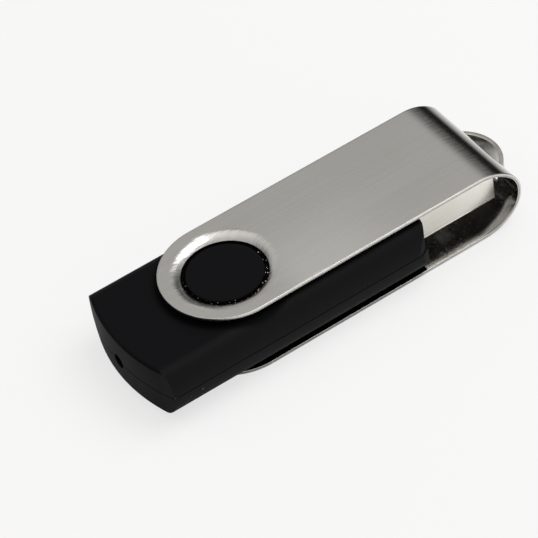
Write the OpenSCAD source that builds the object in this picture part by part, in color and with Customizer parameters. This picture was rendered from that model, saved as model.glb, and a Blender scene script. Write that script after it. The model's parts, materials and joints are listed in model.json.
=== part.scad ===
// Swivel-clip USB flash drive, in millimetres.
// The drive lies flat: +X is the plug end, +Z is up, and the origin is under the
// middle of the bounding box, on the table. Every module is written around the
// swivel axis at half height, and place() moves the whole assembly once.

/* [Swivel clip] */
// Width of the bent sheet strip, also the diameter of its round ends
clip_width = 17.0; // [14:0.1:20]
// Sheet thickness
sheet = 0.5; // [0.3:0.05:0.8]
// Half of the height over both plates
clip_half = 5.2; // [4.5:0.05:6]
// Swivel axis to the start of the bend
bend_start = 33.2; // [25:0.1:45]
// Swivel axis to the outermost point of the bend
bend_nose = 39.38; // [30:0.01:52]
// Outer radius of the bend at its nose
nose_radius = 4.5; // [3:0.1:5]

/* [Pivot holes] */
// Radius of each pivot hole
hole_radius = 5.55; // [3:0.05:7]
// Outer radius of the pressed dish round the hole
dish_radius = 7.0; // [5:0.05:8]
// Depth of the dish
dish_depth = 0.75; // [0.2:0.05:1.2]

/* [Lanyard loop] */
// Outer radius of the lanced loop, in plan
loop_radius = 5.8; // [4:0.01:7]
// Swivel axis to the centre of the loop's arc
loop_centre = 35.77; // [30:0.01:45]
// Height of the strip that forms the loop
loop_height = 2.5; // [1:0.1:3]
// How far the middle of the strip lies below the middle of the bend
loop_low = 0.4; // [0:0.05:0.5]
// Thickness of the loop's strip
loop_sheet = 0.6; // [0.4:0.05:1]
// Half width of the window that the strip leaves in the bend
window_half = 4.1; // [3:0.1:5]

/* [Case] */
// Half width of the case at its widest, on the parting line
case_half_width = 10.0; // [8:0.01:12]
// Half thickness of the case
case_half = 3.9; // [3:0.05:4.6]
// Radius of the barrel-shaped long sides, in cross-section
barrel_radius = 7.0; // [5:0.1:12]
// Radius of the upper shell's long shoulders
upper_edge = 2.0; // [0.3:0.1:2.5]
// Radius of the lower shell's long shoulders
lower_edge = 3.0; // [0.3:0.1:3.2]
// Swivel axis to the middle of the rear end
rear_reach = 16.55; // [12:0.05:22]
// Plan radius of the rear end
rear_radius = 26.0; // [15:0.5:40]
// Profile radius of the slightly convex rear band
rear_band_radius = 50.0; // [15:0.5:80]
// Radius of the rear top and bottom edges
rear_edge = 0.45; // [0.2:0.05:1]
// Swivel axis to the upper shell's front face
upper_front = 24.2; // [20:0.1:30]
// How far the lower shell's front stands out past the upper one
front_step = 0.35; // [0:0.05:1]
// Plan radius of the front corners
front_corner = 2.2; // [1:0.1:5]
// Height of the parting line over the middle of the case
parting = 0.0; // [-1:0.05:1]
// Visible gap along the parting line
parting_gap = 0.12; // [0.02:0.01:0.2]
// Wall thickness
wall = 1.2; // [0.8:0.1:2]
// Radius of the light window in the rear end
window_radius = 1.0; // [0.6:0.05:1.5]

/* [Hub] */
// Radius of the bearing land that the clip turns on
land_radius = 5.50; // [3:0.01:7]
// Radius of the disc on top of the hub
disc_radius = 5.0; // [2.5:0.05:6.5]
// Height of the disc's face above the middle of the case
disc_height = 4.65; // [4.2:0.05:5.2]
// Top of the bearing land above the middle of the case
land_height = 4.2; // [4.05:0.05:4.6]
// Width of the groove between the disc and the land
groove_width = 0.28; // [0.1:0.02:0.4]
// Height of the groove's floor above the middle of the case
groove_floor = 3.7; // [3.4:0.05:4.1]

/* [Plug] */
// Width over the plug's metal shield
plug_width = 12.0; // [11.9:0.05:12.1]
// Height over the plug's metal shield
plug_height = 4.5; // [4.4:0.05:4.6]
// Length of the metal shield
plug_length = 18.75; // [15:0.05:22]
// Swivel axis to the tip of the plug
plug_tip = 36.85; // [32:0.05:45]
// Sheet thickness of the shield
shield_sheet = 0.3; // [0.25:0.05:0.4]
// Contact strip thickness
contact_sheet = 0.25; // [0.15:0.05:0.3]
// Contact strip width
contact_width = 1.0; // [0.8:0.05:1.2]

/* [Circuit board] */
// Board thickness
board_thick = 0.8; // [0.6:0.1:1.2]
// Half width of the board
board_half = 7.3; // [5:0.1:8]
// Swivel axis to the board's rear edge
board_rear = 13.0; // [10:0.1:18]

/* [Clearances] */
// Gap between moulded or pressed parts that meet
fit_gap = 0.05; // [0.02:0.01:0.1]
// Gap between soldered or seated parts that meet
seat_gap = 0.02; // [0.01:0.01:0.05]

/* [Hidden] */
$fn = 96;
loop_tip = loop_centre + loop_radius;
// the origin sits under the middle of the bounding box
shift_x = (rear_reach - loop_tip) / 2;
shift_z = clip_half;
nose_centre = bend_nose - nose_radius;
// the side arcs are tangent to the plates at the bend start and to the nose circle
bend_dx = nose_centre - bend_start;
side_radius = (bend_dx * bend_dx + clip_half * clip_half - nose_radius * nose_radius)
              / (2 * (clip_half - nose_radius));
side_centre = clip_half - side_radius;
side_reach = side_radius - nose_radius;
lip_top = clip_half - dish_depth;
barrel_centre = case_half_width - barrel_radius;
// a shoulder arc of radius r touches the flat face and the barrel-shaped side
function shoulder_z(r) = case_half - r;
function shoulder_y(r) = barrel_centre + sqrt(pow(barrel_radius - r, 2) - pow(shoulder_z(r), 2));
function shoulder_meet(r) = shoulder_z(r) * barrel_radius / (barrel_radius - r);
rear_centre = rear_radius - rear_reach;
band_centre = rear_radius - rear_band_radius;
rear_edge_z = case_half - rear_edge;
rear_edge_r = band_centre + sqrt(pow(rear_band_radius - rear_edge, 2) - rear_edge_z * rear_edge_z);
rear_edge_meet = rear_edge_z * rear_band_radius / (rear_band_radius - rear_edge);
lower_front = upper_front + front_step;
lip_inset = wall / 2;
lip_height = 0.7;
plug_rear = plug_tip - plug_length;
board_top = board_thick / 2;
board_neck = plug_rear - 3.3;
board_front = plug_rear - 0.2;
inner_half = case_half - wall;
pin_radius = 0.6;
post_radius = 1.4;
posts = [[-11.3, 5.0], [-11.3, -5.0], [13.2, 5.8], [13.2, -5.8]];
flash_x = 1.6;
flash_length = 18.4;
flash_width = 12.0;
flash_high = 1.0;
controller_x = 6.2;
controller_size = 7.0;
controller_high = 1.4;
stand_off = 0.08;
tongue_front = plug_tip - 0.4;
tongue_back = plug_rear + 6.1;
tongue_top = -0.05;
contact_top = 0.0;
tail_low = board_top + seat_gap;
tail_end = board_front - 1.7;
tail_fillet = 0.6;
leg_reach = 2.5;
leg_fillet = 0.75;
case_black = [0.09, 0.09, 0.1];
steel = [0.72, 0.71, 0.69];
gold = [0.85, 0.68, 0.32];
tin = [0.78, 0.78, 0.8];
epoxy = [0.12, 0.12, 0.13];

module place() {
  translate([shift_x, 0, shift_z]) children();
}

// Swivel clip -----------------------------------------------------------

// side profile of the bent strip, grown or shrunk by w from its outside
module clip_side(w) {
  union() {
    translate([-clip_width, -(clip_half - w)]) square([clip_width + bend_start, 2 * (clip_half - w)]);
    intersection() {
      translate([bend_start, side_centre]) circle(r = side_radius - w);
      translate([bend_start, -side_centre]) circle(r = side_radius - w);
      translate([bend_start, -clip_half])
        square([bend_dx * (side_radius - w) / side_reach, 2 * clip_half]);
    }
    translate([nose_centre, 0]) circle(r = nose_radius - w);
  }
}

module clip_plan() {
  union() {
    circle(r = clip_width / 2);
    translate([0, -clip_width / 2]) square([bend_nose + 1, clip_width]);
  }
}

// height of the dished face at radius r: steepest at the hole, level at the rim
function dish_z(r) = let (u = max(0, min(1, (dish_radius - r) / (dish_radius - hole_radius))))
  clip_half - dish_depth * u * u;
dish_steps = [for (i = [0 : 8]) hole_radius + (dish_radius - hole_radius) * i / 8];

// metal added under the plate by the pressed dish
module dish_under() {
  rotate_extrude()
    polygon(concat([[hole_radius - 1, clip_half - sheet / 2], [hole_radius - 1, lip_top - sheet]],
                   [for (r = dish_steps) [r, dish_z(r) - sheet]],
                   [[dish_radius + 0.2, clip_half - sheet], [dish_radius + 0.2, clip_half - sheet / 2]]));
}

// air above the pressed dish
module dish_over() {
  rotate_extrude()
    polygon(concat([[0, clip_half + 1], [0, lip_top]],
                   [for (r = dish_steps) [r, dish_z(r)]],
                   [[dish_radius, clip_half + 1]]));
}

module swivel_clip() color(steel) place() {
  difference() {
    union() {
      intersection() {
        rotate([90, 0, 0]) translate([0, 0, -clip_width / 2]) linear_extrude(clip_width)
          difference() { clip_side(0); clip_side(sheet); }
        translate([0, 0, -clip_half - 1]) linear_extrude(2 * clip_half + 2) clip_plan();
      }
      for (s = [0, 1]) mirror([0, 0, s]) dish_under();
    }
    for (s = [0, 1]) mirror([0, 0, s]) {
      dish_over();
      cylinder(r = hole_radius, h = clip_half + 1);
    }
    translate([nose_centre, -window_half, -loop_low - loop_height / 2 - 0.1])
      cube([bend_nose, 2 * window_half, loop_height + 0.2]);
  }
  // the strip lanced out of the bend, pushed out as an arch
  intersection() {
    translate([loop_centre, 0, -loop_low - loop_height / 2]) linear_extrude(loop_height)
      difference() { circle(r = loop_radius); circle(r = loop_radius - loop_sheet); }
    translate([bend_nose - sheet + 0.02, -clip_width / 2, -clip_half]) cube([clip_half, clip_width, 2 * clip_half]);
  }
}

// Case ------------------------------------------------------------------

// cross-section of the case, inset by w
module case_section(w) {
  top = w > 0 ? case_half - w : shoulder_meet(upper_edge);
  bottom = w > 0 ? case_half - w : shoulder_meet(lower_edge);
  union() {
    intersection() {
      union() for (s = [-1, 1]) translate([s * barrel_centre, 0]) circle(r = barrel_radius - w);
      translate([-case_half_width - 1, -bottom]) square([2 * case_half_width + 2, top + bottom]);
    }
    if (w == 0) {
      translate([-shoulder_y(upper_edge), 0]) square([2 * shoulder_y(upper_edge), case_half]);
      translate([-shoulder_y(lower_edge), -case_half]) square([2 * shoulder_y(lower_edge), case_half]);
      for (s = [-1, 1]) {
        translate([s * shoulder_y(upper_edge), shoulder_z(upper_edge)]) circle(r = upper_edge);
        translate([s * shoulder_y(lower_edge), -shoulder_z(lower_edge)]) circle(r = lower_edge);
      }
    }
  }
}

// plan of the case, inset by w, with its front at x = front
module case_plan(w, front) {
  inner = case_half_width - front_corner;
  union() {
    translate([-rear_reach - 2, -case_half_width - 1])
      square([rear_reach + 2 + front - front_corner, 2 * case_half_width + 2]);
    translate([0, -inner]) square([front - w, 2 * inner]);
    for (s = [-1, 1]) translate([front - front_corner, s * inner]) circle(r = front_corner - w);
  }
}

// half profile of the rear end, inset by w
module rear_profile(w) {
  union() {
    intersection() {
      translate([band_centre, 0]) circle(r = rear_band_radius - w, $fn = 200);
      translate([0, -(w > 0 ? case_half - w : rear_edge_meet)])
        square([rear_radius + 1, 2 * (w > 0 ? case_half - w : rear_edge_meet)]);
    }
    if (w == 0) {
      translate([0, -case_half]) square([rear_edge_r, 2 * case_half]);
      for (s = [-1, 1]) translate([rear_edge_r, s * rear_edge_z]) circle(r = rear_edge);
    }
  }
}

module case_solid(w, front) {
  intersection() {
    rotate([90, 0, 90]) translate([0, 0, -rear_reach - 2]) linear_extrude(rear_reach + front + 4) case_section(w);
    translate([0, 0, -case_half - 1]) linear_extrude(2 * case_half + 2) case_plan(w, front);
    translate([rear_centre, 0, 0]) rotate_extrude($fn = 200) rear_profile(w);
  }
}

// everything between two heights
module slab(low, high) {
  translate([-40, -20, low]) cube([80, 40, high - low]);
}

// what the plug and the light window need, cut from both shells
module case_openings() {
  translate([plug_rear - 2, -plug_width / 2 - fit_gap, -plug_height / 2 - fit_gap])
    cube([plug_length, plug_width + 2 * fit_gap, plug_height + 2 * fit_gap]);
  translate([-rear_reach - 1, 0, parting]) rotate([0, 90, 0]) cylinder(r = window_radius, h = wall + 2.2, $fn = 48);
}

// ribs that hold the plug, in the whole height of the case
module plug_ribs() {
  for (x = [plug_rear + 0.5, plug_rear + 2.9])
    translate([x, -case_half_width, -case_half]) cube([1.0, 2 * case_half_width, 2 * case_half]);
}

module hub() {
  rotate_extrude()
    polygon([[0, inner_half + 0.6], [4, inner_half + 0.6], [4, inner_half - 0.2], [land_radius - 0.6, inner_half - 0.2],
             [land_radius, inner_half + 0.4], [land_radius, land_height - 0.05],
             [land_radius - 0.05, land_height], [disc_radius + groove_width, land_height],
             [disc_radius + groove_width, groove_floor], [disc_radius, groove_floor],
             [disc_radius, disc_height - 0.12], [disc_radius - 0.12, disc_height], [0, disc_height]]);
}

// posts and edge rests on one side of the board, from the board to the shell
module board_posts() {
  low = board_top + fit_gap;
  for (p = posts) translate([p[0], p[1], low]) cylinder(r = post_radius, h = inner_half - low + 0.2, $fn = 48);
  for (x = [-6.5, 4.5]) for (s = [-1, 1])
    translate([x, s > 0 ? board_half - 0.7 : -board_half - 1.4, low]) cube([0.8, 2.1, inner_half - low + 0.2]);
}

module upper_shell() color(case_black) place() {
  difference() {
    union() {
      difference() {
        intersection() { case_solid(0, upper_front); slab(parting + parting_gap / 2, case_half + 1); }
        case_solid(wall, upper_front);
        // rebate for the lower shell's lip
        intersection() {
          case_solid(lip_inset - fit_gap, upper_front);
          slab(parting - 1, parting + lip_height + fit_gap);
        }
      }
      intersection() {
        case_solid(lip_inset + fit_gap, upper_front);
        slab(parting + lip_height + 2 * fit_gap, case_half);
        union() { plug_ribs(); board_posts(); }
      }
      intersection() {
        case_solid(wall + fit_gap, upper_front);
        slab(board_top + fit_gap, case_half);
        board_posts();
      }
      hub();
    }
    case_openings();
    for (p = posts) translate([p[0], p[1], 0]) cylinder(r = pin_radius + fit_gap, h = 1.9, $fn = 36);
    cylinder(r = 4, h = inner_half + 0.6);
  }
}

module lower_shell() color(case_black) place() {
  difference() {
    union() {
      difference() {
        intersection() { case_solid(0, lower_front); slab(-case_half - 1, parting - parting_gap / 2); }
        case_solid(wall, upper_front);
      }
      // lip that locates the upper shell
      difference() {
        intersection() { case_solid(lip_inset, upper_front); slab(parting - 0.6, parting + lip_height); }
        case_solid(wall, upper_front);
      }
      intersection() {
        case_solid(lip_inset + fit_gap, upper_front);
        slab(-case_half, parting - parting_gap);
        union() { plug_ribs(); mirror([0, 0, 1]) board_posts(); }
      }
      mirror([0, 0, 1]) hub();
    }
    case_openings();
    mirror([0, 0, 1]) cylinder(r = 4, h = inner_half + 0.6);
  }
  // pins through the board into the upper shell's posts
  for (p = posts) translate([p[0], p[1], -board_top - fit_gap - 0.3])
    cylinder(r = pin_radius, h = board_thick + 2 * fit_gap + 0.3 + 1.2, $fn = 36);
}

// Plug ------------------------------------------------------------------

module plug_outline(w, r) {
  x = plug_width / 2 - w;
  z = plug_height / 2 - w;
  union() {
    square([2 * (x - r), 2 * z], center = true);
    square([2 * x, 2 * (z - r)], center = true);
    for (a = [-1, 1]) for (b = [-1, 1]) translate([a * (x - r), b * (z - r)]) circle(r = r, $fn = 32);
  }
}

module plug_shield() color(steel) place() {
  difference() {
    translate([plug_rear, 0, 0]) rotate([90, 0, 90]) linear_extrude(plug_length)
      difference() { plug_outline(0, 0.5); plug_outline(shield_sheet, 0.2); }
    // latch windows, two on each broad side
    for (s = [-1, 1]) translate([plug_tip - 7.4, s * 2.85 - 1.05, -plug_height])
      cube([2.25, 2.1, 2 * plug_height]);
    // folded seam down the middle of the underside
    translate([plug_rear - 1, -0.04, -plug_height / 2 - 0.1]) cube([plug_length + 2, 0.08, 0.2]);
  }
  // legs that run back along the board's edges
  for (s = [-1, 1]) translate([plug_rear - leg_reach, s > 0 ? plug_width / 2 - shield_sheet : -plug_width / 2, -0.9])
    cube([leg_reach + 0.2, shield_sheet, 1.8]);
}

contact_rows = [3.5, 1.0, -1.0, -3.5];
contact_fronts = [1.15, 2.15, 2.15, 1.15];

module plug_insulator() color([0.93, 0.93, 0.9]) place() {
  x = plug_width / 2 - shield_sheet - seat_gap;
  z = plug_height / 2 - shield_sheet - seat_gap;
  difference() {
    union() {
      translate([plug_rear + 0.25, -x + 0.2, -z]) cube([tongue_back - plug_rear - 0.25, 2 * x - 0.4, 2 * z]);
      translate([tongue_back - 1, -x + 0.3, -z]) cube([tongue_front - tongue_back + 1, 2 * x - 0.6, tongue_top + z]);
    }
    for (i = [0 : 3])
      translate([plug_rear - 1, contact_rows[i] - contact_width / 2 - seat_gap, contact_top - contact_sheet - seat_gap])
        cube([tongue_front - contact_fronts[i] - plug_rear + 1 + seat_gap,
              contact_width + 2 * seat_gap, contact_sheet + 2 * seat_gap]);
  }
}

// one contact strip: a bar on the tongue, a riser, and a solder tail on the board
module contact(i) {
  front = tongue_front - contact_fronts[i];
  back = board_front + 0.08;
  tail_top = tail_low + contact_sheet;
  translate([0, contact_rows[i] + contact_width / 2, 0]) rotate([90, 0, 0]) linear_extrude(contact_width)
    polygon([[back, contact_top - contact_sheet], [front, contact_top - contact_sheet], [front, contact_top - 0.1],
             [front - 0.3, contact_top], [back + contact_sheet, contact_top], [back + contact_sheet, tail_top],
             [tail_end, tail_top], [tail_end, tail_low], [back, tail_low]]);
}

module contact_vbus() color(gold) place() contact(0);
module contact_data_minus() color(gold) place() contact(1);
module contact_data_plus() color(gold) place() contact(2);
module contact_ground() color(gold) place() contact(3);

// Board and what it carries ----------------------------------------------

module circuit_board() color([0.05, 0.3, 0.16]) place() {
  neck_half = plug_width / 2 - shield_sheet - 0.1;
  difference() {
    translate([0, 0, -board_top]) linear_extrude(board_thick) union() {
      difference() {
        translate([-board_rear, -board_half]) square([board_rear + board_neck, 2 * board_half]);
        // rear corners cut to follow the case
        for (s = [-1, 1]) translate([-board_rear, s * board_half]) rotate(45) square(1.6, center = true);
      }
      translate([board_neck - 1, -neck_half]) square([board_front - board_neck + 1, 2 * neck_half]);
    }
    for (p = posts) translate([p[0], p[1], -board_thick]) cylinder(r = pin_radius + 0.1, h = 2 * board_thick, $fn = 36);
  }
}

// gull-wing lead leaving a package face at x = 0 towards +X, standing on z = 0
lead_thick = 0.15;
lead_width = 0.22;
module gull_lead(rise, reach, width) {
  t = lead_thick;
  translate([0, width / 2, 0]) rotate([90, 0, 0]) linear_extrude(width)
    polygon([[seat_gap / 2, rise], [reach * 0.35, rise], [reach * 0.5, 0], [reach, 0], [reach, t],
             [reach * 0.5 + t, t], [reach * 0.35 + t, rise + t], [seat_gap / 2, rise + t]]);
}

module flash_chip() color(epoxy) place()
  difference() {
    translate([flash_x - flash_length / 2, -flash_width / 2, board_top + stand_off])
      cube([flash_length, flash_width, flash_high]);
    // pin 1 mark
    translate([flash_x - flash_length / 2 + 1.2, flash_width / 2 - 1.2, board_top + stand_off + flash_high - 0.1])
      cylinder(r = 0.4, h = 1, $fn = 32);
  }

module flash_leads() color(tin) place()
  for (s = [0, 1]) translate([flash_x, 0, board_top + seat_gap / 2]) mirror([s, 0, 0])
    for (i = [0 : 23]) translate([flash_length / 2, (i - 11.5) * 0.5, 0])
      gull_lead(0.45, 0.8, lead_width);

module controller_chip() color(epoxy) place()
  difference() {
    translate([controller_x - controller_size / 2, -controller_size / 2, -board_top - stand_off - controller_high])
      cube([controller_size, controller_size, controller_high]);
    translate([controller_x - controller_size / 2 + 0.9, controller_size / 2 - 0.9,
               -board_top - stand_off - controller_high - 0.9]) cylinder(r = 0.35, h = 1, $fn = 32);
  }

module controller_leads() color(tin) place()
  translate([controller_x, 0, -board_top - seat_gap / 2]) mirror([0, 0, 1])
    for (a = [0 : 3]) rotate(a * 90)
      for (i = [0 : 11]) translate([controller_size / 2, (i - 5.5) * 0.5, 0])
        gull_lead(0.6, 1.0, lead_width);

crystal_at = [-3.6, -2.6];
crystal_size = [5.0, 3.2, 0.7];
crystal_cover = [4.4, 2.6, 0.35];

module crystal_base() color([0.82, 0.78, 0.7]) place()
  translate([crystal_at[0] - crystal_size[0] / 2, crystal_at[1] - crystal_size[1] / 2,
             -board_top - seat_gap - crystal_size[2]]) cube(crystal_size);

module crystal_lid() color(steel) place()
  translate([crystal_at[0] - crystal_cover[0] / 2, crystal_at[1] - crystal_cover[1] / 2,
             -board_top - 2 * seat_gap - crystal_size[2] - crystal_cover[2]]) cube(crystal_cover);

module led_base() color([0.9, 0.9, 0.86]) place()
  translate([-board_rear + 0.2, -0.8, -board_top - seat_gap - 0.25]) cube([0.8, 1.6, 0.25]);

module led_lens() color([0.85, 0.9, 0.95, 0.6]) place()
  translate([-board_rear + 0.25, -0.55, -board_top - 2 * seat_gap - 0.25 - 0.4]) cube([0.7, 1.1, 0.4]);

// x, y, side of the board (+1 top, -1 bottom) and quarter turns
capacitor_places = [[-3.6, 2.4, -1, 0], [-7.6, 3.6, -1, 1], [11.8, 2.6, -1, 1], [11.8, -2.6, -1, 1], [13.6, 0, 1, 1]];
resistor_places = [[-10.4, 1.6, -1, 0], [-7.6, -4.4, -1, 1], [13.4, 2.6, 1, 1], [13.4, -2.6, 1, 1]];

capacitor_high = 0.8;
capacitor_body = 0.9;
capacitor_cap = 0.34;
resistor_high = 0.45;
resistor_body = 1.0;
resistor_cap = 0.28;
chip_wide = 0.8;

module chip_at(p, high) {
  translate([p[0], p[1], p[2] * (board_top + seat_gap + high / 2)]) rotate(90 * p[3]) children();
}

module ceramic_capacitors() color([0.72, 0.58, 0.42]) place()
  for (p = capacitor_places) chip_at(p, capacitor_high)
    cube([capacitor_body, chip_wide - seat_gap, capacitor_high - seat_gap], center = true);

module capacitor_terminals() color(tin) place()
  for (p = capacitor_places) chip_at(p, capacitor_high) for (s = [-1, 1])
    translate([s * (capacitor_body + seat_gap + capacitor_cap) / 2, 0, 0])
      cube([capacitor_cap, chip_wide, capacitor_high], center = true);

module chip_resistors() color([0.1, 0.1, 0.11]) place()
  for (p = resistor_places) chip_at(p, resistor_high)
    cube([resistor_body, chip_wide - seat_gap, resistor_high - seat_gap], center = true);

module resistor_terminals() color(tin) place()
  for (p = resistor_places) chip_at(p, resistor_high) for (s = [-1, 1])
    translate([s * (resistor_body + seat_gap + resistor_cap) / 2, 0, 0])
      cube([resistor_cap, chip_wide, resistor_high], center = true);

module solder_joints() color(tin) place() {
  low = board_top + seat_gap / 2;
  // at the ends of the contact tails
  for (y = contact_rows) translate([0, y + contact_width / 2, 0]) rotate([90, 0, 0]) linear_extrude(contact_width)
    polygon([[tail_end - tail_fillet, low], [tail_end - seat_gap, low], [tail_end - seat_gap, low + 0.22]]);
  // along the plug's legs, above and below the board
  for (s = [0, 1]) mirror([0, s, 0]) for (u = [0, 1]) mirror([0, 0, u])
    translate([plug_rear - leg_reach + 0.3, 0, 0]) rotate([90, 0, 90]) linear_extrude(leg_reach - 0.8)
      polygon([[plug_width / 2 - shield_sheet - leg_fillet, low], [plug_width / 2 - shield_sheet - seat_gap / 2, low],
               [plug_width / 2 - shield_sheet - seat_gap / 2, low + 0.4]]);
}

upper_shell();
lower_shell();
swivel_clip();
plug_shield();
plug_insulator();
contact_vbus();
contact_data_minus();
contact_data_plus();
contact_ground();
circuit_board();
flash_chip();
flash_leads();
controller_chip();
controller_leads();
crystal_base();
crystal_lid();
led_base();
led_lens();
ceramic_capacitors();
capacitor_terminals();
chip_resistors();
resistor_terminals();
solder_joints();
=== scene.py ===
"""Looks for a swivel-clip USB flash drive: brushed steel clip, matte black case, plated plug.

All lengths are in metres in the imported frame: +X to the plug and the lanyard loop, +Z up,
and the table at z = 0. Sizes are written in millimetres and multiplied by MM. Patterns are
read at Object coordinates, so a pattern's scale is in features per metre.
"""
import json
import logging
import math
from dataclasses import dataclass
from enum import Enum

import bmesh
import bpy
import numpy as np
from mathutils import Matrix, Vector


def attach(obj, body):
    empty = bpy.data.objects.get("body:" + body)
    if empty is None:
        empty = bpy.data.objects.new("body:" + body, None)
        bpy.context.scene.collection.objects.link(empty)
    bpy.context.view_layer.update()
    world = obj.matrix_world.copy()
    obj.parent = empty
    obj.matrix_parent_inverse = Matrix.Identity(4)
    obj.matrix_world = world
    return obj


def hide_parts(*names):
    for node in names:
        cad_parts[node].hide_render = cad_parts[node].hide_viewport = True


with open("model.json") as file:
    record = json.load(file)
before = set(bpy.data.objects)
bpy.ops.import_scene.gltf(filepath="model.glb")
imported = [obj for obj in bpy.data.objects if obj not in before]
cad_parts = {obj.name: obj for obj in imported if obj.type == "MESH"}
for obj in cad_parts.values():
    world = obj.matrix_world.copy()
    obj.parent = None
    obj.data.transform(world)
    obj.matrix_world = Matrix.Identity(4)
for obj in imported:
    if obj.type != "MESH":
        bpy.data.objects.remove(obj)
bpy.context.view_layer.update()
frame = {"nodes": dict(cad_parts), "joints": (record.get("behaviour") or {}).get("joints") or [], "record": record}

log = logging.getLogger("flash_drive")

MM = 0.001
PIVOT = Vector(next(j for j in frame["joints"] if j["name"] == "clip_swivel")["pos_m"])

Array = np.ndarray
Colour = tuple[float, float, float, float]
Triple = tuple[float, float, float]
Fade = tuple[float, float]  # where a soft step starts and ends; the step falls if it ends lower

# Noise stays near 0.5, so these fades spread it over 0 to 1.
CRISP_MOTTLE: Fade = (0.35, 0.65)
SOFT_MOTTLE: Fade = (0.30, 0.70)


# Shader expressions --------------------------------------------------------


class Term:
    """One node output, so that shader maths reads as a Python expression."""

    def __init__(self, shader: "Shader", socket: bpy.types.NodeSocket) -> None:
        """Keeps the socket and the shader that it belongs to."""
        self.shader = shader
        self.socket = socket

    def _math(self, operation: str, *others: "float | Term") -> "Term":
        """Adds a Math node with this term first."""
        return self.shader.math(operation, self, *others)

    def __add__(self, other: "float | Term") -> "Term":
        """Sum."""
        return self._math("ADD", other)

    __radd__ = __add__

    def __mul__(self, other: "float | Term") -> "Term":
        """Product."""
        return self._math("MULTIPLY", other)

    __rmul__ = __mul__

    def __sub__(self, other: "float | Term") -> "Term":
        """Difference."""
        return self._math("SUBTRACT", other)

    def __rsub__(self, other: float) -> "Term":
        """Difference with this term second."""
        return self.shader.math("SUBTRACT", other, self)

    def __truediv__(self, other: "float | Term") -> "Term":
        """Quotient."""
        return self._math("DIVIDE", other)

    def __rtruediv__(self, other: float) -> "Term":
        """Quotient with this term second."""
        return self.shader.math("DIVIDE", other, self)

    def __pow__(self, other: "float | Term") -> "Term":
        """Power."""
        return self._math("POWER", other)

    def absolute(self) -> "Term":
        """Size without sign."""
        return self._math("ABSOLUTE")

    def at_least(self, other: "float | Term") -> "Term":
        """The larger of this and another value."""
        return self._math("MAXIMUM", other)

    def at_most(self, other: "float | Term") -> "Term":
        """The smaller of this and another value."""
        return self._math("MINIMUM", other)

    def past(self, limit: float) -> "Term":
        """1 above the limit, and 0 under it."""
        return self._math("GREATER_THAN", limit)

    def hypot(self, other: "Term") -> "Term":
        """Straight distance over two lengths at right angles."""
        return (self ** 2.0 + other ** 2.0) ** 0.5

    def ramp(self, fade: Fade) -> "Term":
        """Smooth step over a fade.

        Args:
            fade: values where the step starts from 0 and where it reaches 1, which may be
                the lower of the two, for a falling step.

        Returns:
            The step, between 0 and 1.
        """
        low, high = fade
        if high < low:
            return 1.0 - self.ramp((high, low))
        node = self.shader.node("ShaderNodeMapRange", {"interpolation_type": "SMOOTHSTEP"},
                                {"Value": self, "From Min": low, "From Max": high})
        return Term(self.shader, node.outputs["Result"])


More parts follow.
